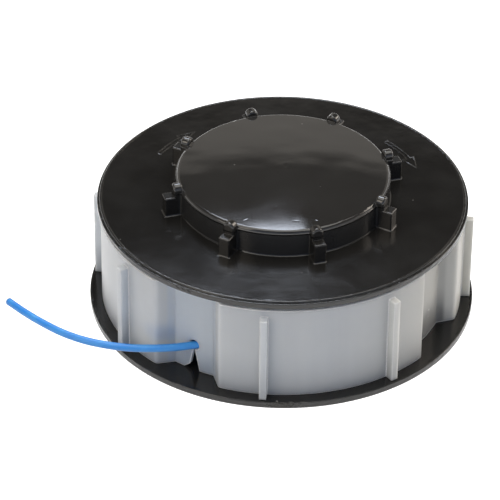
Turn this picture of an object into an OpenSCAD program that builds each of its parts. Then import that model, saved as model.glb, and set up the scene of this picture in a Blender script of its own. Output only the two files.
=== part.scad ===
// Line spool for a grass trimmer.
// One black moulding carries two flanges, the winding drum and a domed boss with feed lugs.
// Nylon line is wound on the drum, and an open plastic guard band keeps the turns in.
// The line leaves through a keyhole in the band. Units are millimetres, Z is the spool's axis.

/* [Flanges] */
// Diameter of the lower flange, which the spool stands on
lower_flange_d = 77; // [72:0.5:90]
// Diameter of the upper flange, which carries the boss
upper_flange_d = 73.4; // [68:0.2:78]
// Thickness of the lower flange
lower_flange_t = 1.3; // [1:0.1:2]
// Thickness of the upper flange
upper_flange_t = 1.4; // [1.2:0.1:2]
// Height of the winding space between the flanges
winding_h = 20.9; // [16:0.1:30]
// Rounding of the flange rims
rim_round = 0.15; // [0.1:0.05:0.4]
// Rounding of the deck's edge and the boss's edge
edge_round = 0.25; // [0.1:0.05:0.4]
// Width of the ledge round the upper rim
rim_ledge_w = 0.45; // [0.2:0.05:0.8]
// Depth of that ledge below the deck
rim_ledge_drop = 0.3; // [0.2:0.05:0.6]

/* [Hub and boss] */
// Outer diameter of the drum and of the boss above it
hub_d = 42.4; // [36:0.2:46]
// Wall of the hub
hub_wall = 1.6; // [1.2:0.1:2.4]
// Height of the boss's rim above the upper flange
boss_h = 5.5; // [4.5:0.1:9]
// Rise of the dome from its rim to its middle
crown_rise = 1.2; // [0.6:0.1:3]
// Thickness of the domed roof
roof_t = 1.6; // [1.2:0.1:2.4]
// Rounding of the dome's edge
crown_round = 0.7; // [0.3:0.05:0.9]
// Width of the ledge between the dome and the boss's wall
boss_ledge_w = 0.2; // [0.1:0.05:0.4]
// Depth of that ledge below the boss's rim
boss_ledge_drop = 0.5; // [0.4:0.05:0.7]
// Fillet between the boss and the upper flange
boss_fillet = 0.3; // [0.2:0.1:1]
// Chamfer at the mouth of the hub's socket
mouth_chamfer = 0.6; // [0.3:0.1:1]

/* [Feed lugs] */
// Number of lugs round the boss
lug_count = 8; // [6:1:10]
// Width of a lug along the rim
lug_w = 2.4; // [1.8:0.1:3]
// How far the tall post stands out from the boss
post_depth = 1.4; // [1:0.1:2.2]
// How far the post reaches in over the dome's edge
post_overlap = 0.5; // [0.3:0.1:1]
// Rise of the post's round tip above the boss's rim
post_rise = 1.1; // [0.6:0.1:2]
// How far the low step stands out from the post
step_depth = 1.8; // [1:0.1:2.5]
// Height of the low step above the flange
step_h = 4.1; // [2.5:0.1:4.4]
// Rounding of the post's ends
post_round = 0.45; // [0.2:0.05:0.6]
// Rounding of the low step's edges
step_round = 0.25; // [0.1:0.05:0.4]
// Fillet round the lug's foot and beside the boss
lug_fillet = 0.3; // [0.1:0.05:0.5]
// Turn of the first lug from the X axis
lug_turn = -73; // [-90:1:90]

/* [Line] */
// Diameter of the nylon line
line_d = 1.5; // [1.2:0.1:2.4]
// Number of wound layers
line_layers = 5; // [2:1:5]
// Gap between neighbouring turns of the outer layer
turn_gap = 0.05; // [0.03:0.01:0.1]
// Clearance of the anchor hole in the drum on the line
anchor_clearance = 0.2; // [0.1:0.05:0.5]

/* [Guard band] */
// Wall of the band
band_wall = 0.8; // [0.6:0.05:1.2]
// Gap between the band and the lower flange
band_foot_gap = 0.15; // [0.1:0.05:0.6]
// Gap between the band and the upper flange
band_head_gap = 0.9; // [0.3:0.05:1.5]
// How far the band's panels sit inside the upper flange's rim
panel_inset = 0.6; // [0.3:0.1:2]
// Depth of the recesses between the panels
recess_depth = 3.1; // [1.5:0.1:3.6]
// Width of a panel across its straight sides
panel_w = 41; // [36:0.5:43]
// Rounding inside the panels' corners
corner_inner_r = 0.3; // [0.1:0.1:1]
// Fillet where a panel's side meets the recess
recess_fillet = 0.4; // [0.2:0.1:0.8]
// Turn from one panel to the next
panel_pitch = 92; // [90:0.2:93]
// Turn of the front panel from the X axis
front_turn = -75.2; // [-90:0.2:-60]
// Turn of the upright fins from the middle of their panel
fin_turn = 20.4; // [12:0.2:26]
// How far the fins stand out from the panels
fin_reach = 1.8; // [1:0.1:2]
// Thickness of the fins
fin_t = 1.4; // [1:0.1:2]
// How far the tops of the fins stay below the band's upper edge
fin_drop = 1.4; // [0.5:0.1:3]
// Gap between the two ends of the band
end_gap = 1; // [0.6:0.1:1.6]

/* [Line keyhole] */
// Turn of the keyhole from the middle of its recess
keyhole_shift = 0.2; // [-4:0.2:4]
// Clearance of the keyhole's round eye on the line
eye_clearance = 0.4; // [0.2:0.05:0.6]
// Height of the eye's middle above the band's lower edge
eye_h = 6; // [5:0.1:9]
// Width of the throat that the line snaps through
throat_w = 0.4; // [0.3:0.05:0.8]
// Width of the notch at the band's lower edge
notch_w = 2.4; // [1.6:0.1:3.4]
// Height of the notch up to the throat
notch_h = 4.7; // [2.5:0.1:4.8]
// Chamfer on the notch's lead-in corner
notch_chamfer = 1.1; // [0.5:0.1:1.5]
// Radius of the moulding pip on the next recess
pip_r = 0.35; // [0.2:0.05:0.6]
// Height of that pip
pip_h = 1.5; // [0.8:0.1:3]

/* [Hidden] */
$fn = 96;

// Overlap that makes joined shapes one solid
join = 0.05;
// Reach of a cutting shape past the surface that it cuts
past = 1;

hub_r = hub_d / 2;
socket_r = hub_r - hub_wall;
upper_r = upper_flange_d / 2;
upper_z = lower_flange_t + winding_h;
deck_z = upper_z + upper_flange_t;
rim_z = deck_z + boss_h;

crown_r = hub_r - boss_ledge_w;
crown_sphere_r = (crown_r * crown_r + crown_rise * crown_rise) / (2 * crown_rise);
crown_centre_z = rim_z + crown_rise - crown_sphere_r;
bead_x = crown_r - crown_round;
bead_z = crown_centre_z + sqrt(pow(crown_sphere_r - crown_round, 2) - bead_x * bead_x);

post_in_r = hub_r - post_overlap;
post_out_r = hub_r + post_depth;
tip_z = rim_z + post_rise - lug_w / 2;
step_out_r = post_out_r + step_depth;

turns = floor(winding_h / line_d);
turn_pitch = winding_h / turns;
layer_pitch = line_d * sqrt(3) / 2;
outer_turn_r = hub_r + line_d / 2 + (line_layers - 1) * layer_pitch;

panel_count = 4;
panel_r = upper_r - panel_inset;
recess_r = panel_r - recess_depth;
panel_corner_r = corner_inner_r + band_wall;
corner_y = panel_w / 2 - panel_corner_r;
corner_x = sqrt(pow(panel_r - panel_corner_r, 2) - corner_y * corner_y);
band_z = lower_flange_t + band_foot_gap;
band_h = winding_h - band_foot_gap - band_head_gap;
keyhole_turn = front_turn - panel_pitch / 2 + keyhole_shift;
pip_turn = front_turn + panel_pitch / 2;
end_turn = front_turn + 2 * panel_pitch + (360 - 3 * panel_pitch) / 2;
eye_d = line_d + 2 * eye_clearance;
eye_z = band_z + eye_h;

// Middle of the free end of the line, from inside the band out through the eye
TAIL_Z = 7.4;
TAIL_ROUTE = [
    [-10, -27.4], [-13.6, -27.7], [-17, -28.3], [-20.6, -29.1], [-24.9, -29.5], [-29.4, -29.4],
    [-33.8, -28.6], [-38.3, -27.1], [-42.8, -24.6], [-47.2, -21.1], [-50.6, -17.9], [-53.9, -14.4]
];
TAIL_SIDES = 8;

// Half of a disc's section with its rim rounded, to be turned about the axis
module disc_section(r, t, edge) {
    square([r - edge, t]);
    translate([0, edge])
        square([r, t - 2 * edge]);
    for (y = [edge, t - edge])
        translate([r - edge, y])
            circle(edge);
}

// Half section of the dome: a shallow cap that runs into a rounded edge
module crown_section() {
    intersection() {
        translate([0, crown_centre_z])
            circle(crown_sphere_r, $fn = 720);
        translate([0, deck_z])
            square([bead_x * crown_sphere_r / (crown_sphere_r - crown_round), 2 * boss_h]);
    }
    translate([bead_x, bead_z])
        circle(crown_round);
    translate([0, deck_z])
        square([crown_r, bead_z - deck_z]);
}

// Half section of the hollow under the dome, open at the lower flange
module socket_section() {
    intersection() {
        translate([0, crown_centre_z])
            circle(crown_sphere_r - roof_t, $fn = 720);
        translate([0, -past])
            square([socket_r, rim_z + past]);
    }
    polygon([
        [0, -past], [socket_r + mouth_chamfer + past, -past],
        [socket_r, mouth_chamfer], [0, mouth_chamfer]
    ]);
}

// Section of a fillet in the corner between a floor and a wall
module fillet_section(fillet) {
    difference() {
        translate([-join, -join])
            square(fillet + join);
        translate([fillet, fillet])
            circle(fillet);
    }
}

// Plan of a fillet where a straight side leaves a round of radius round_r
module side_fillet(round_r, side, fillet) {
    y = side + fillet;
    x = sqrt(pow(round_r + fillet, 2) - y * y);
    inside = (round_r - fillet) / (round_r + fillet);
    difference() {
        polygon([[x * inside, y * inside], [x, 0], [x, y]]);
        translate([x, y])
            circle(fillet);
    }
}

// Rectangle along X with its two far corners rounded
module nosed(length, width, corner) {
    translate([0, -width / 2])
        square([length - corner, width]);
    translate([0, corner - width / 2])
        square([length, width - 2 * corner]);
    for (side = [-1, 1])
        translate([length - corner, side * (width / 2 - corner)])
            circle(corner);
}

// Drum, both flanges and the boss, turned in one piece
module spool_body() {
    rotate_extrude()
        difference() {
            union() {
                disc_section(lower_flange_d / 2, lower_flange_t, rim_round);
                translate([0, upper_z])
                    disc_section(upper_r, upper_flange_t - rim_ledge_drop, rim_round);
                translate([0, upper_z])
                    disc_section(upper_r - rim_ledge_w, upper_flange_t, edge_round);
                disc_section(hub_r, rim_z - boss_ledge_drop, edge_round);
                crown_section();
                translate([hub_r, deck_z])
                    fillet_section(boss_fillet);
            }
            socket_section();
        }
}

// Tall post against the boss, with a round tip whose ends are rounded too
module lug_post() {
    translate([post_in_r, 0, tip_z])
        rotate([0, 90, 0])
            rotate_extrude()
                disc_section(lug_w / 2, post_out_r - post_in_r, post_round);
    translate([post_in_r, 0, deck_z - join])
        linear_extrude(tip_z - deck_z + join)
            nosed(post_out_r - post_in_r, lug_w, post_round);
}

// Low step outside the post: what its plan, front view and side view have in common
module lug_step() {
    depth = step_depth + post_round;
    intersection() {
        translate([step_out_r - depth, 0, deck_z - join])
            linear_extrude(step_h + join)
                nosed(depth, lug_w, step_round);
        translate([step_out_r, 0, deck_z - join])
            rotate([0, -90, 0])
                linear_extrude(depth)
                    nosed(step_h + join, lug_w, step_round);
        translate([step_out_r - depth, lug_w / 2, deck_z - join])
            rotate([90, 0, 0])
                linear_extrude(lug_w)
                    nosed(depth, 2 * (step_h + join), step_round);
    }
}

// Fillets round the lug's foot and where its sides leave the boss
module lug_fillets() {
    straight = lug_w / 2 - step_round;
    translate([step_out_r, straight, deck_z])
        rotate([90, 0, 0])
            linear_extrude(2 * straight)
                fillet_section(lug_fillet);
    for (side = [0, 1])
        mirror([0, side, 0]) {
            translate([hub_r - join, lug_w / 2, deck_z])
                rotate([90, 0, 90])
                    linear_extrude(step_out_r - step_round - hub_r + join)
                        fillet_section(lug_fillet);
            translate([step_out_r - step_round, straight, deck_z])
                rotate_extrude()
                    translate([step_round, 0])
                        fillet_section(lug_fillet);
            translate([0, 0, deck_z - join])
                linear_extrude(boss_h - boss_ledge_drop)
                    side_fillet(hub_r, lug_w / 2, lug_fillet);
        }
}

// Hole through the drum that takes the line's inner end
module anchor_hole() {
    rotate(end_turn)
        translate([socket_r - past, 0, lower_flange_t + winding_h / 2])
            rotate([0, 90, 0])
                cylinder(h = hub_wall + 2 * past, d = line_d + 2 * anchor_clearance);
}

module spool() {
    color("#262626")
        difference() {
            union() {
                spool_body();
                for (i = [0 : lug_count - 1])
                    rotate(lug_turn + i * 360 / lug_count) {
                        lug_post();
                        lug_step();
                        lug_fillets();
                    }
            }
            anchor_hole();
        }
}

// The wound turns as one solid, with the outer layer showing as separate rounds
module wound_line() {
    color("#2f7fdc")
        rotate_extrude() {
            translate([hub_r, lower_flange_t])
                square([outer_turn_r - hub_r, winding_h]);
            for (i = [0 : turns - 1])
                translate([outer_turn_r, lower_flange_t + (i + 0.5) * turn_pitch])
                    circle(d = line_d - turn_gap);
        }
}

// One panel's plan, moved inward by inset: straight sides that turn into the arc by round corners
module panel_plan(inset) {
    intersection() {
        circle(panel_r - inset);
        polygon([[0, 0], [2 * corner_x, 2 * corner_y], [2 * corner_x, -2 * corner_y]]);
    }
    translate([0, inset - panel_w / 2])
        square([corner_x, panel_w - 2 * inset]);
    for (side = [0, 1])
        mirror([0, side]) {
            translate([corner_x, corner_y])
                circle(panel_corner_r - inset);
            side_fillet(recess_r - inset, panel_w / 2 - inset, recess_fillet + inset);
        }
}

// Outline of the whole band, moved inward by inset: its panels on a smaller round
module band_plan(inset) {
    circle(recess_r - inset);
    for (i = [-1 : panel_count - 2])
        rotate(front_turn + i * panel_pitch)
            panel_plan(inset);
}

// Plan of the band's thin skin, open between its two ends
module skin_plan() {
    difference() {
        band_plan(0);
        band_plan(band_wall);
        rotate(end_turn)
            translate([recess_r - band_wall - past, -end_gap / 2])
                square([band_wall + 2 * past, end_gap]);
    }
}

// Plan of the upright fins, rooted in the panels
module fin_plan() {
    for (i = [-1 : panel_count - 2], side = [-1, 1])
        rotate(front_turn + i * panel_pitch + side * fin_turn)
            translate([panel_r - band_wall / 2, -fin_t / 2])
                square([band_wall / 2 + fin_reach, fin_t]);
}

// Round eye, snap throat and lead-in notch, cut through the recess from outside
module keyhole() {
    rotate(keyhole_turn)
        translate([recess_r - band_wall - past, 0, 0]) {
            translate([0, 0, eye_z])
                rotate([0, 90, 0])
                    cylinder(h = band_wall + 2 * past, d = eye_d);
            rotate([90, 0, 90])
                linear_extrude(band_wall + 2 * past)
                    keyhole_throat();
        }
}

// Side view of the throat and the notch, with one lower corner cut away to lead the line in
module keyhole_throat() {
    corner_x = notch_w / 2 - (notch_w - throat_w) / 2 * notch_chamfer / notch_h;
    polygon([
        [throat_w / 2, eye_z],
        [throat_w / 2, band_z + notch_h],
        [notch_w / 2, band_z],
        [notch_w / 2, band_z - past],
        [-notch_w / 2 - notch_chamfer, band_z - past],
        [-notch_w / 2 - notch_chamfer, band_z],
        [-corner_x, band_z + notch_chamfer],
        [-throat_w / 2, band_z + notch_h],
        [-throat_w / 2, eye_z]
    ]);
}

module guard_band() {
    color("#c9ccd4") {
        difference() {
            translate([0, 0, band_z])
                union() {
                    linear_extrude(band_h)
                        skin_plan();
                    linear_extrude(band_h - fin_drop)
                        fin_plan();
                }
            keyhole();
        }
        rotate(pip_turn)
            translate([recess_r - pip_r / 2, 0, eye_z - pip_h / 2 - pip_r * 2])
                cylinder(h = pip_h, r = pip_r);
    }
}

// Unit direction of the route at point i, taken from its neighbours
function heading(i) =
    let (a = TAIL_ROUTE[max(i - 1, 0)], b = TAIL_ROUTE[min(i + 1, len(TAIL_ROUTE) - 1)])
    (b - a) / norm(b - a);

// Ring of corners round point i of the route, square to its direction
function tail_ring(i) =
    let (h = heading(i))
    [for (k = [0 : TAIL_SIDES - 1])
        let (a = 360 * k / TAIL_SIDES, side = line_d / 2 * cos(a))
        [TAIL_ROUTE[i].x - h.y * side, TAIL_ROUTE[i].y + h.x * side, TAIL_Z + line_d / 2 * sin(a)]];

module line_tail() {
    rings = len(TAIL_ROUTE);
    corners = [for (i = [0 : rings - 1]) each tail_ring(i)];
    walls = [for (i = [0 : rings - 2], k = [0 : TAIL_SIDES - 1])
        let (n = (k + 1) % TAIL_SIDES, a = i * TAIL_SIDES, b = (i + 1) * TAIL_SIDES)
        [a + k, a + n, b + n, b + k]];
    near_end = [for (k = [TAIL_SIDES - 1 : -1 : 0]) k];
    far_end = [for (k = [0 : TAIL_SIDES - 1]) (rings - 1) * TAIL_SIDES + k];
    color("#3f8ee6")
        polyhedron(corners, concat(walls, [near_end, far_end]));
}

spool();
wound_line();
guard_band();
line_tail();
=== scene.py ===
"""Looks of the trimmer line spool: glossy black moulding, undyed guard band and blue nylon line."""

import math

import bmesh
import bpy
from mathutils import Matrix, Vector


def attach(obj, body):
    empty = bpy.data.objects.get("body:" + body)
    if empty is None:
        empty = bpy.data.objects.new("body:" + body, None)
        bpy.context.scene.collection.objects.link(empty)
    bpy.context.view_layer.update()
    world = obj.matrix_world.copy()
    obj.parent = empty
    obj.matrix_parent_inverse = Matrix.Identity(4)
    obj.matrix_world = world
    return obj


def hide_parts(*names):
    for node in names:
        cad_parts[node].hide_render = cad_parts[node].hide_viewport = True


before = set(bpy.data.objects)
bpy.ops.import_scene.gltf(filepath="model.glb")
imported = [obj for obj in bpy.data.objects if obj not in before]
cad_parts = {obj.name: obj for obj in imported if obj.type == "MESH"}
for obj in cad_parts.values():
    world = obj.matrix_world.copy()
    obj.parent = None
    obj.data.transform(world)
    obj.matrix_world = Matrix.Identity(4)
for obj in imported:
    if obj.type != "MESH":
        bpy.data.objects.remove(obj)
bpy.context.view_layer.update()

MM = 0.001
UP = Vector((0, 0, 1))

# From the part's source, in millimetres: the line's thickness and two heights above the table
LINE_D = 1.5
DECK_Z = 23.6
CROWN_Z = 30.3

# Where a region of the black moulding fades in, between two heights above the table
WALL_FROM = (23.7, 24.1)
DOME_FROM = (28.2, 28.6)
UPPER_FLANGE_FROM = (20, 21)

# Where a region fades in or out, between two distances from the axis
UPPER_RIM_FROM = (35.5, 36)
LOWER_RIM_FROM = (37.8, 38.2)
BOSS_TO = (21.4, 21.8)
RECESS_TO = (33.8, 34.6)
FIN_FROM = (36.25, 36.7)

# The photograph's view, fitted to both flange outlines
IMAGE_PX = 500
FOCAL_PX = 3164.3
SENSOR_MM = 36
CAMERA_DISTANCE = 633.3
CAMERA_ELEVATION = math.radians(35.06)
CAMERA_ROLL = 0.0097
CAMERA_TARGET = Vector((-6.37, 0, 10.1))

# Middle of the free end of the line, the same points as in the part's source
TAIL_Z = 7.4
TAIL_ROUTE = [
    (-10, -27.4), (-13.6, -27.7), (-17, -28.3), (-20.6, -29.1), (-24.9, -29.5), (-29.4, -29.4),
    (-33.8, -28.6), (-38.3, -27.1), (-42.8, -24.6), (-47.2, -21.1), (-50.6, -17.9), (-53.9, -14.4),
]

# The rounding of its cut end: how far back from the end, and what share of the thickness is left there
TAIL_END = ((0.35, 1), (0.12, 0.93), (0, 0.72))

# How many sides the tube has, and how many steps it takes from one point of the route to the next
TAIL_SIDES = 24
TAIL_STEPS = 12

# The fine ring inside the upper flange's edge: its radius, half its width, its height and its steps
BEAD_R = 35.95
BEAD_HALF = 0.3
BEAD_TALL = 0.05
BEAD_STEPS = 240

# The direction arrows: radius of their middle, half widths of shaft and head, the head's length in
# degrees, and the steps along the shaft
ARROW_R = 28.6
SHAFT_HALF = 0.4
HEAD_HALF = 1.25
HEAD_TURN = 7.4
SHAFT_STEPS = 8

# The raised line that draws them: half its width, and its height
OUTLINE_HALF = 0.16
OUTLINE_TALL = 0.1

# The upper flange's warp: its slope to the front, and how fast it falls with the square of the radius
DECK_LEAN = 0.021
DECK_CROWN = 0.0002

# Near its edge the dome falls faster: from what radius on, and how fast with the square of the rest
DOME_FALL_FROM = 17
DOME_FALL = 0.0012

# The gate scar on the lower rim, and its pale crumbs: middle, half length and how pale
RIM_SCAR = (0, -38.5, 0.7)
SCAR_CRUMBS = [
    ((-0.9, -37.9, 1.25), 0.3, 0.6),
    ((1.7, -38.2, 1.2), 0.7, 0.22),
    ((4.2, -38.1, 1.2), 1.3, 0.14),
]

# Nicks in the upper rim, the band's patch of painted blue light from the line, and its moulding pip
RIM_NICKS = [(-20, -30.8, 23), (-18.9, -31.5, 23), (-17.8, -32.1, 23)]
LINE_LIGHT_PATCH = (-23.5, -25, 8.5)
BAND_PIP = (28.8, -16.1, 6.75)

# Marks on the dome: middle, half length, half width, turn in degrees, and height, below 0 for a scratch
DOME_MARKS = [
    ((0.2, 0.6), 2.6, 1.5, 20, 0.01),
    ((0.5, 0.2), 1.1, 0.6, 75, -0.02),
    ((-1.6, -13.8), 1.0, 0.25, 60, -0.012),
    ((2.4, -17.7), 1.0, 0.3, 10, -0.012),
    ((6.6, -17.2), 0.6, 0.3, -15, 0.01),
    ((-7.2, -17.4), 0.8, 0.35, 35, -0.009),
    ((11.3, -16.9), 1.2, 0.4, 35, 0.04),
]

# Sines of the elevations at which the tent's white walls begin and end to fade
TENT_BRIGHT_TO = math.sin(math.radians(28))
TENT_DARK_FROM = math.sin(math.radians(34.5))

# Lamps: name, turn and elevation in degrees, distance, width and height in metres, radiance and colour
SOFTBOXES = [
    # High up behind: the dome's front edge mirrors it, and the upper flange draws it out into a streak
    ("strip_softbox", 98, 55.9, 0.9, (0.26, 0.22), 12.5, "#e8f0ff"),
    # Faint and just below that one: it softens the highlight's edge towards the dome's middle
    ("strip_glow", 101, 51.5, 0.9, (0.27, 0.2), 0.45, "#e8f0ff"),
    # An even fill from above
    ("overhead_softbox", 90, 89, 0.8, (0.8, 0.8), 3.0, "#fffdf8"),
    # One on each side for the guard band
    ("left_softbox", -138, 32, 0.9, (0.4, 0.45), 3.6, "#fff2de"),
    ("right_softbox", 20, 28, 0.9, (0.35, 0.45), 5.6, "#fff3e6"),
]


def linear(hex_colour):
    """An sRGB hex colour as linear red, green, blue and alpha."""
    parts = [int(hex_colour[i:i + 2], 16) / 255 for i in (1, 3, 5)]
    return [p / 12.92 if p <= 0.04045 else ((p + 0.055) / 1.055) ** 2.4 for p in parts] + [1]


def add_node(tree, kind, settings=None, inputs=None):
    """Adds a node, sets its properties, and sets or links its inputs."""
    node = tree.nodes.new(kind)
    for name, value in (settings or {}).items():
        setattr(node, name, value)
    for name, value in (inputs or {}).items():
        if isinstance(value, bpy.types.NodeSocket):
            tree.links.new(value, node.inputs[name])
        else:
            node.inputs[name].default_value = value
    return node


def new_material(name):
    """An empty material and its node tree."""
    material = bpy.data.materials.new(name)
    material.use_nodes = True
    material.node_tree.nodes.clear()
    return material, material.node_tree


def finish_material(tree, surface):
    """Links the finished surface to the material's output."""
    add_node(tree, "ShaderNodeOutputMaterial", inputs={"Surface": surface})


def point_mm(tree):
    """The surface point in the piece's own frame, in millimetres."""
    place = add_node(tree, "ShaderNodeTexCoord")
    scaled = add_node(tree, "ShaderNodeVectorMath", {"operation": "SCALE"}, {
        "Vector": place.outputs["Object"], "Scale": 1 / MM})
    return scaled.outputs["Vector"]


def radius(tree, parts):
    """Distance from the spool's axis, from the parts of the point."""
    flat = add_node(tree, "ShaderNodeCombineXYZ", inputs={
        "X": parts.outputs["X"], "Y": parts.outputs["Y"]})
    away = add_node(tree, "ShaderNodeVectorMath", {"operation": "LENGTH"}, {0: flat.outputs[0]})
    return away.outputs["Value"]


def between(tree, value, start, end, low, high):
    """Takes a value's stretch from start to end over to low and high, with smooth ends."""
    node = add_node(tree, "ShaderNodeMapRange", {"interpolation_type": "SMOOTHSTEP"}, {
        "Value": value, "From Min": start, "From Max": end, "To Min": low, "To Max": high})
    return node.outputs["Result"]


def combine(tree, operation, *values):
    """One sum, product or extreme of several values."""
    total = values[0]
    for value in values[1:]:
        node = add_node(tree, "ShaderNodeMath", {"operation": operation}, {0: total, 1: value})
        total = node.outputs[0]
    return total


def mixed(tree, share, first, second):
    """A colour between two colours or colour sockets."""
    node = add_node(tree, "ShaderNodeMix", {"data_type": "RGBA"})
    for socket, value in ((node.inputs[0], share), (node.inputs[6], first), (node.inputs[7], second)):
        if isinstance(value, bpy.types.NodeSocket):
            tree.links.new(value, socket)
        else:
            socket.default_value = value
    return node.outputs[2]


def patches(tree, point, size, low, high, detail=2):
    """Soft patches of about that size in millimetres, as a value between low and high."""
    stretch = add_node(tree, "ShaderNodeVectorMath", {"operation": "DIVIDE"}, {0: point, 1: size})
    noise = add_node(tree, "ShaderNodeTexNoise", inputs={
        "Vector": stretch.outputs["Vector"], "Scale": 1, "Detail": detail})
    return between(tree, noise.outputs["Fac"], 0.25, 0.75, low, high)


def mark(tree, point, middle, half_sizes, turn, strength):
    """A small soft mark: strength in its middle, 0 past its edge."""
    local = add_node(tree, "ShaderNodeMapping", {"vector_type": "TEXTURE"}, {
        "Vector": point, "Location": middle, "Rotation": (0, 0, math.radians(turn)),
        "Scale": half_sizes})
    away = add_node(tree, "ShaderNodeVectorMath", {"operation": "LENGTH"}, {0: local.outputs["Vector"]})
    return between(tree, away.outputs["Value"], 0.2, 1, strength, 0)


def specks(tree, point, spacing, size, share):
    """Scattered specks, 1 on a speck: one in each cell of that spacing, on that share of the cells."""
    scaled = add_node(tree, "ShaderNodeVectorMath", {"operation": "SCALE"}, {
        "Vector": point, "Scale": 1 / spacing})
    cells = add_node(tree, "ShaderNodeTexVoronoi", {"feature": "F1"}, {
        "Vector": scaled.outputs["Vector"], "Scale": 1})
    near = between(tree, cells.outputs["Distance"], 0.3 * size / spacing, size / spacing, 1, 0)
    chance = add_node(tree, "ShaderNodeSeparateColor", inputs={"Color": cells.outputs["Color"]})
    chosen = combine(tree, "LESS_THAN", chance.outputs[0], share)
    return combine(tree, "MULTIPLY", near, chosen)


def black_relief(tree, point, parts, reach, on_dome, scar):
    """Height of the black moulding's skin, in millimetres."""
    # The dome's skin sank into waves about 10 mm long, which are weaker towards the front
    depth = combine(tree, "MULTIPLY", on_dome, between(tree, parts.outputs["Y"], -12, 0, 0.15, 1))
    waves = combine(tree, "MULTIPLY", depth, patches(tree, point, (12, 8, 9), -0.038, 0.038, 1))

    # The upper flange's warp, too slight for an outline, and the dome's fall near its edge
    warped = combine(tree, "ADD", combine(tree, "MULTIPLY", parts.outputs["Y"], DECK_LEAN),
                     combine(tree, "MULTIPLY", reach, reach, -DECK_CROWN))
    warp = combine(tree, "MULTIPLY", warped, between(tree, on_dome, 0, 1, 1, 0))
    past = combine(tree, "MAXIMUM", combine(tree, "SUBTRACT", reach, DOME_FALL_FROM), 0)
    fall = combine(tree, "MULTIPLY", past, past, on_dome, -DOME_FALL)

    # Orange peel of the moulded skin: grains of 1.6 mm, and wider ones of 4 mm that are weak on the dome
    peel = combine(tree, "ADD", patches(tree, point, (1.6, 1.6, 1.6), -0.0006, 0.0006, 2),
                   combine(tree, "MULTIPLY", patches(tree, point, (4, 4, 4), -0.008, 0.008, 2),
                           between(tree, on_dome, 0, 1, 1, 0.25)))

    # Both rims are worn in fine steps along the rim, drawn about twice as coarse as real wear
    at_upper_rim = combine(tree, "MULTIPLY", between(tree, reach, *UPPER_RIM_FROM, 0, 1),
                           between(tree, parts.outputs["Z"], *UPPER_FLANGE_FROM, 0, 1))
    at_rims = combine(tree, "MAXIMUM", between(tree, reach, *LOWER_RIM_FROM, 0, 1), at_upper_rim)
    worn = combine(tree, "MULTIPLY", at_rims, patches(tree, point, (1.6, 1.6, 0.5), -0.03, 0.03, 4))
    crumbs = combine(tree, "MULTIPLY", scar, patches(tree, point, (0.8, 0.8, 0.6), -0.5, 0.5, 3))

    marks = [mark(tree, point, (*middle, CROWN_Z - 0.5), (length, width, 1.5), turn, tall)
             for middle, length, width, turn, tall in DOME_MARKS]
    nicks = [mark(tree, point, middle, (0.5, 0.5, 0.35), 0, -1.2) for middle in RIM_NICKS]
    return combine(tree, "ADD", waves, warp, fall, peel, worn, crumbs, *marks, *nicks)


def black_colour(tree, point, on_dome, on_boss, scuffs, scar):
    """Black, a little greyer on the dome and scar, in scuffs and dust, with a painted sheen on the
    boss's wall.
    """
    # Painted sheen: the boss's wall is painted greyer for the light it mirrors
    with_wall_sheen = mixed(tree, on_boss, linear("#181716"), linear("#242424"))
    handled = mixed(tree, on_dome, with_wall_sheen, linear("#272625"))
    scuffed = mixed(tree, combine(tree, "MULTIPLY", scuffs, 0.15), handled, linear("#333331"))
    scarred = mixed(tree, combine(tree, "MULTIPLY", scar, 0.5), scuffed, linear("#55534f"))
    pale = combine(tree, "MAXIMUM", *[mark(tree, point, middle, (length, 0.3, 0.3), 0, share)
                                      for middle, length, share in SCAR_CRUMBS])
    crumbed = mixed(tree, pale, scarred, linear("#a3a29e"))

    # Dust, drawn 0.2 mm across and so coarser than real, or it would not show
    dust = specks(tree, point, 3.2, 0.2, 0.3)
    return mixed(tree, combine(tree, "MULTIPLY", dust, 0.35), crumbed, linear("#8d8b88"))


def black_abs():
    """ABS moulded in a turned, polished tool: deep black and glossy, with waves, wear, scuffs and dust.
    The tool's rings are too fine to draw, so the anisotropic gloss stands for them: they draw each
    highlight out towards the axis."""
    material, tree = new_material("black_moulded_abs")
    point = point_mm(tree)
    parts = add_node(tree, "ShaderNodeSeparateXYZ", inputs={0: point})
    reach = radius(tree, parts)
    on_dome = between(tree, parts.outputs["Z"], *DOME_FROM, 0, 1)
    on_wall = combine(tree, "SUBTRACT", between(tree, parts.outputs["Z"], *WALL_FROM, 0, 1), on_dome)
    on_boss = combine(tree, "MULTIPLY", on_wall, between(tree, reach, *BOSS_TO, 1, 0))
    scuffs = patches(tree, point, (9, 9, 9), 0, 1, 6)
    scar = mark(tree, point, RIM_SCAR, (5, 0.6, 0.9), 0, 1)

    edges = add_node(tree, "ShaderNodeBevel", {"samples": 4}, {"Radius": 0.16 * MM})
    bump = add_node(tree, "ShaderNodeBump", inputs={
        "Height": black_relief(tree, point, parts, reach, on_dome, scar),
        "Distance": MM, "Normal": edges.outputs["Normal"]})

    # Best polished on the dome, duller on the lugs and the boss's wall, and dull on the scar
    flange_gloss = between(tree, parts.outputs["Y"], -30, 15, 0.14, 0.11)
    roughness = combine(tree, "ADD", flange_gloss, between(tree, on_dome, 0, 1, 0, -0.07),
                        combine(tree, "MULTIPLY", on_wall, 0.1),
                        combine(tree, "MULTIPLY", scuffs, 0.04),
                        combine(tree, "MULTIPLY", scar, 0.25))
    rings = add_node(tree, "ShaderNodeTangent", {"direction_type": "RADIAL", "axis": "Z"})
    shader = add_node(tree, "ShaderNodeBsdfPrincipled", inputs={
        "Base Color": black_colour(tree, point, on_dome, on_boss, scuffs, scar),
        "Roughness": roughness, "IOR": 1.54, "Normal": bump.outputs["Normal"],
        "Anisotropic": 0.5, "Anisotropic Rotation": 0.25, "Tangent": rings.outputs[0]})
    finish_material(tree, shader.outputs["BSDF"])
    return material


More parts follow.
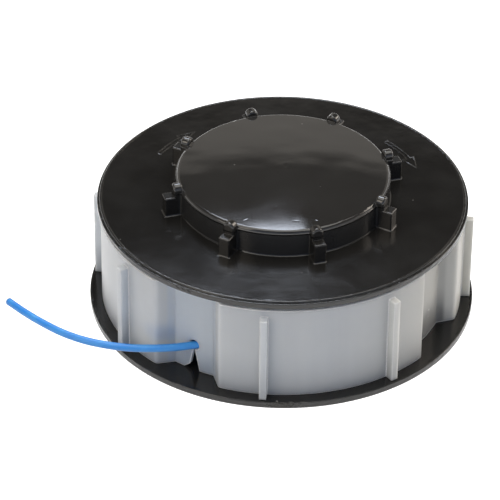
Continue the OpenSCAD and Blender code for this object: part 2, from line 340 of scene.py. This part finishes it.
def band_colour(tree, point, parts, reach, tone):
    """Milky white of the guard band, with painted light and shade from the line, lamps and black flange.
    """
    across = parts.outputs["X"]
    height = parts.outputs["Z"]
    in_recess = between(tree, reach, *RECESS_TO, 1, 0)

    # Painted light: cool for the blue winding's light through the wall, and warm towards the right
    cool = mixed(tree, tone, linear("#cdd2d7"), linear("#d8dde1"))
    milky = mixed(tree, between(tree, across, 8, 32, 0, 1), cool, linear("#d1d0c9"))

    # Painted shade from the black lower flange darkens the foot, most of all in the recess on the right
    painted_foot_shade = combine(tree, "MULTIPLY", between(tree, height, 0, 12, 0.5, 0),
                      between(tree, across, 29, 34, 1, 0))
    with_foot_shade = mixed(tree, painted_foot_shade, milky, linear("#85898f"))
    painted_recess_shade = combine(tree, "MULTIPLY", in_recess, between(tree, across, 20, 27, 0, 1),
                     between(tree, height, 3, 11, 0.55, 0.2))
    with_recess_shade = mixed(tree, painted_recess_shade, with_foot_shade, linear("#3a3b3d"))

    # Painted blue light of the line on the recess on the left, stronger where the line comes close to
    # the wall
    painted_line_light = combine(tree, "MULTIPLY", between(tree, reach, *RECESS_TO, 0.25, 0),
                        between(tree, across, -6, 6, 1, 0))
    with_line_light = mixed(tree, painted_line_light, with_recess_shade, linear("#aecbef"))
    painted_line_patch = mark(tree, point, LINE_LIGHT_PATCH, (4.5, 4.5, 3.5), 0, 0.2)
    return mixed(tree, painted_line_patch, with_line_light, linear("#8fb8ee"))


def natural_polypropylene():
    """Undyed moulded polypropylene: milky and satin, lets light through its thin walls, with faint
    upright flow bands 5 mm wide, small soft clouds, and a painted highlight and glow on its edges."""
    material, tree = new_material("natural_polypropylene")
    point = point_mm(tree)
    parts = add_node(tree, "ShaderNodeSeparateXYZ", inputs={0: point})
    reach = radius(tree, parts)
    bands = patches(tree, point, (5, 5, 60), 0, 1, 3)
    clouds = patches(tree, point, (9, 9, 7), 0, 1, 4)
    tone = combine(tree, "ADD", combine(tree, "MULTIPLY", bands, 0.6),
                   combine(tree, "MULTIPLY", clouds, 0.4))

    # Painted highlight: the edges are painted lighter and glow faintly
    # An edge is where the rounded normal turns away from the flat one. Fins and pip show little of it
    edges = add_node(tree, "ShaderNodeBevel", {"samples": 6}, {"Radius": 0.55 * MM})
    flat = add_node(tree, "ShaderNodeNewGeometry").outputs["Normal"]
    turned = add_node(tree, "ShaderNodeVectorMath", {"operation": "DOT_PRODUCT"}, {
        0: edges.outputs["Normal"], 1: flat})
    on_fin = between(tree, reach, *FIN_FROM, 0, 1)
    at_pip = mark(tree, point, BAND_PIP, (1.5, 1.5, 2), 0, 0.9)
    painted_edge_glow = combine(tree, "MULTIPLY", between(tree, turned.outputs["Value"], 0.85, 0.995, 1, 0),
                      between(tree, on_fin, 0, 1, 1, 0.2), combine(tree, "SUBTRACT", 1, at_pip))

    body = band_colour(tree, point, parts, reach, tone)
    skin = patches(tree, point, (3, 3, 5), -0.004, 0.004, 3)
    bump = add_node(tree, "ShaderNodeBump", inputs={
        "Height": skin, "Distance": MM, "Normal": edges.outputs["Normal"]})
    # Lighter base colour and a faint emission on the edges: a painted highlight and glow
    shader = add_node(tree, "ShaderNodeBsdfPrincipled", inputs={
        "Base Color": mixed(tree, painted_edge_glow, body, linear("#fbfbf9")),
        "Roughness": combine(tree, "ADD", 0.36, combine(tree, "MULTIPLY", clouds, 0.1)),
        "IOR": 1.49, "Normal": bump.outputs["Normal"], "Transmission Weight": 0.12,
        "Subsurface Weight": 1.0, "Subsurface Radius": (1, 1, 1), "Subsurface Scale": 2.5 * MM,
        "Emission Color": linear("#f4f8ff"),
        "Emission Strength": combine(tree, "MULTIPLY", painted_edge_glow, 0.12)})
    finish_material(tree, shader.outputs["BSDF"])
    return material


def blue_nylon():
    """Extruded nylon line dyed blue: smooth and satin, lighter in patches of a few millimetres where it
    was rubbed, with a slightly uneven skin."""
    material, tree = new_material("blue_nylon")
    point = point_mm(tree)
    rubbed = patches(tree, point, (4, 4, 1.2), 0, 1, 4)
    skin = patches(tree, point, (1.2, 1.2, 1.2), -0.006, 0.006, 2)
    bump = add_node(tree, "ShaderNodeBump", inputs={"Height": skin, "Distance": MM})
    shader = add_node(tree, "ShaderNodeBsdfPrincipled", inputs={
        "Base Color": mixed(tree, rubbed, linear("#2a86da"), linear("#429ae2")),
        "Roughness": combine(tree, "ADD", 0.32, combine(tree, "MULTIPLY", rubbed, 0.12)),
        "IOR": 1.53, "Normal": bump.outputs["Normal"],
        "Subsurface Weight": 0.4, "Subsurface Radius": (0.4, 0.7, 1), "Subsurface Scale": 0.5 * MM})
    finish_material(tree, shader.outputs["BSDF"])
    return material


def piece_from(mesh, name, material):
    """A scene object made from the finished mesh."""
    data = bpy.data.meshes.new(name)
    mesh.to_mesh(data)
    mesh.free()
    data.materials.append(material)
    piece = bpy.data.objects.new(name, data)
    bpy.context.scene.collection.objects.link(piece)
    return piece


def smooth_route(points, steps):
    """Catmull-Rom curve through the points, with that many steps between neighbours."""
    route = []
    for i in range(len(points) - 1):
        a, b, c, d = (Vector(points[min(max(i + k, 0), len(points) - 1)]) for k in (-1, 0, 1, 2))
        for k in range(steps):
            t = k / steps
            route.append(0.5 * (2 * b + (c - a) * t + (2 * a - 5 * b + 4 * c - d) * t * t
                                + (3 * b - a - 3 * c + d) * t ** 3))
    route.append(Vector(points[-1]))
    return route


def line_tail(material):
    """The free end of the line: a round tube along its route, its cut end a little rounded."""
    route = smooth_route([(x, y, TAIL_Z) for x, y in TAIL_ROUTE], TAIL_STEPS)
    stations = [(point, 1) for point in route[:-1]]
    last_way = (route[-1] - route[-2]).normalized()
    stations += [(route[-1] - last_way * back, share) for back, share in TAIL_END]
    mesh = bmesh.new()
    rings = []
    for i, (point, share) in enumerate(stations):
        after = stations[min(i + 1, len(stations) - 1)][0]
        along = (after - stations[max(i - 1, 0)][0]).normalized()
        side = along.cross(UP)
        ring = []
        for k in range(TAIL_SIDES):
            a = math.tau * k / TAIL_SIDES
            corner = point + (side * math.cos(a) + UP * math.sin(a)) * share * LINE_D / 2
            ring.append(mesh.verts.new(corner * MM))
        rings.append(ring)
    for a, b in zip(rings, rings[1:]):
        for k in range(TAIL_SIDES):
            n = (k + 1) % TAIL_SIDES
            mesh.faces.new((a[k], a[n], b[n], b[k])).smooth = True
    mesh.faces.new(rings[0])
    mesh.faces.new(rings[-1])
    bmesh.ops.recalc_face_normals(mesh, faces=mesh.faces)
    tail = piece_from(mesh, "line_tail_cord", material)
    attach(tail, "guard_band")
    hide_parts("line_tail")


def on_deck(reach, turn):
    """The flat place at that distance from the axis and that turn in degrees."""
    return Vector((reach * math.cos(math.radians(turn)), reach * math.sin(math.radians(turn))))


def raised_line(points, half_width, tall):
    """A closed line of low rounded section along the points on the upper flange, rooted in it."""
    root = 0.02
    shoulder = tall * 0.7
    section = ((1, -root), (0.75, shoulder), (0, tall), (-0.75, shoulder), (-1, -root))
    mesh = bmesh.new()
    rings = []
    for i, point in enumerate(points):
        before = (point - points[i - 1]).normalized()
        after = (points[(i + 1) % len(points)] - point).normalized()
        along = (before + after).normalized()
        # Wider across a corner, but not past twice the width
        across = Vector((-along.y, along.x)) * half_width / max(0.5, along.dot(after))
        ring = [Vector((*(point + across * share), DECK_Z + up)) for share, up in section]
        rings.append([mesh.verts.new(corner * MM) for corner in ring])
    for a, b in zip(rings, rings[1:] + rings[:1]):
        for k in range(len(a) - 1):
            mesh.faces.new((a[k], a[k + 1], b[k + 1], b[k])).smooth = True
        mesh.faces.new((a[-1], a[0], b[0], b[-1]))
    bmesh.ops.recalc_face_normals(mesh, faces=mesh.faces)
    return mesh


def rim_bead(material):
    """The fine raised ring just inside the upper flange's edge."""
    circle = [on_deck(BEAD_R, 360 * k / BEAD_STEPS) for k in range(BEAD_STEPS)]
    bead = piece_from(raised_line(circle, BEAD_HALF, BEAD_TALL), "rim_bead", material)
    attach(bead, "spool")


def direction_arrow(name, tail_turn, tip_turn, material):
    """A raised outline arrow on the upper flange that follows the rim from its tail to its tip."""
    head_turn = tip_turn + math.copysign(HEAD_TURN, tail_turn - tip_turn)
    turns = [tail_turn + (head_turn - tail_turn) * k / SHAFT_STEPS for k in range(SHAFT_STEPS + 1)]
    outline = [(ARROW_R - SHAFT_HALF, turn) for turn in turns]
    outline += [(ARROW_R - HEAD_HALF, head_turn), (ARROW_R, tip_turn), (ARROW_R + HEAD_HALF, head_turn)]
    outline += [(ARROW_R + SHAFT_HALF, turn) for turn in reversed(turns)]
    mesh = raised_line([on_deck(reach, turn) for reach, turn in outline], OUTLINE_HALF, OUTLINE_TALL)
    arrow = piece_from(mesh, name, material)
    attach(arrow, "spool")


def place_camera():
    """The photograph's camera: its place, its lens and its slight roll."""
    forward = Vector((0, math.cos(CAMERA_ELEVATION), -math.sin(CAMERA_ELEVATION)))
    data = bpy.data.cameras.new("photo_camera")
    data.sensor_width = SENSOR_MM
    data.lens = FOCAL_PX * SENSOR_MM / IMAGE_PX
    camera = bpy.data.objects.new("photo_camera", data)
    facing = forward.to_track_quat("-Z", "Y").to_matrix().to_4x4()
    place = Matrix.Translation((CAMERA_TARGET - forward * CAMERA_DISTANCE) * MM)
    camera.matrix_world = place @ facing @ Matrix.Rotation(CAMERA_ROLL, 4, "Z")
    bpy.context.scene.collection.objects.link(camera)
    bpy.context.scene.camera = camera


def white_floor():
    """Overexposed white paper: it keeps the part's shadow, and shows white in view and in gloss."""
    material, tree = new_material("white_paper")
    view = add_node(tree, "ShaderNodeLightPath")
    seen = combine(tree, "MAXIMUM", view.outputs["Is Camera Ray"], view.outputs["Is Glossy Ray"],
                   view.outputs["Is Transmission Ray"])
    paper = add_node(tree, "ShaderNodeBsdfDiffuse", inputs={"Color": linear("#c4c4c4")})
    glow = add_node(tree, "ShaderNodeEmission", inputs={"Color": linear("#ffffff"), "Strength": seen})
    total = add_node(tree, "ShaderNodeAddShader", inputs={0: paper.outputs[0], 1: glow.outputs[0]})
    finish_material(tree, total.outputs[0])
    bpy.ops.mesh.primitive_plane_add(size=3, location=(0, 0, 0))
    floor = bpy.context.object
    floor.name = "white_floor"
    floor.data.materials.append(material)


def softbox(name, turn, elevation, distance, size, radiance, colour):
    """A soft lamp in that direction from the spool, with the size and brightness of its face."""
    data = bpy.data.lights.new(name, "AREA")
    data.shape = "RECTANGLE"
    data.size, data.size_y = size
    data.energy = radiance * math.pi * size[0] * size[1]
    data.color = linear(colour)[:3]
    lamp = bpy.data.objects.new(name, data)
    turn, elevation = math.radians(turn), math.radians(elevation)
    towards = Vector((math.cos(turn) * math.cos(elevation), math.sin(turn) * math.cos(elevation),
                      math.sin(elevation)))
    lamp.location = towards * distance
    lamp.rotation_euler = (-towards).to_track_quat("-Z", "Y").to_euler()
    bpy.context.scene.collection.objects.link(lamp)


def set_world():
    """A white tent round the table: bright up to 28 degrees and dark from 34.5, dimmer at the back than
    in front, cool in front and slightly warm from the sides to the back. The camera sees it white."""
    world = bpy.data.worlds.new("white_tent")
    bpy.context.scene.world = world
    world.use_nodes = True
    tree = world.node_tree
    tree.nodes.clear()
    way = add_node(tree, "ShaderNodeTexCoord").outputs["Generated"]
    parts = add_node(tree, "ShaderNodeSeparateXYZ", inputs={0: way})
    walls = between(tree, parts.outputs["Z"], TENT_BRIGHT_TO, TENT_DARK_FROM, 1, 0.05)
    front_to_back = between(tree, parts.outputs["Y"], -1, 1, 0.7, 0.58)
    tent = combine(tree, "MULTIPLY", walls, front_to_back)
    view = add_node(tree, "ShaderNodeLightPath")
    strength = combine(tree, "MAXIMUM", tent, view.outputs["Is Camera Ray"])
    warmth = between(tree, parts.outputs["Y"], -1, 0, 0, 1)
    tint = mixed(tree, warmth, linear("#c8dbff"), linear("#fff8ee"))
    shown = mixed(tree, view.outputs["Is Camera Ray"], tint, linear("#ffffff"))
    background = add_node(tree, "ShaderNodeBackground", inputs={"Color": shown, "Strength": strength})
    add_node(tree, "ShaderNodeOutputWorld", inputs={"Surface": background.outputs[0]})


place_camera()
black = black_abs()
natural = natural_polypropylene()
blue = blue_nylon()
line_tail(blue)
rim_bead(black)
direction_arrow("feed_arrow_right", 43, 20.4, black)
direction_arrow("feed_arrow_left", 150.5, 128.5, black)
for node, material in (("spool", black), ("wound_line", blue), ("guard_band", natural)):
    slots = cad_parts[node].data.materials
    slots.clear()
    slots.append(material)

white_floor()
set_world()
for lamp in SOFTBOXES:
    softbox(*lamp)
bpy.context.scene.view_settings.view_transform = "Standard"
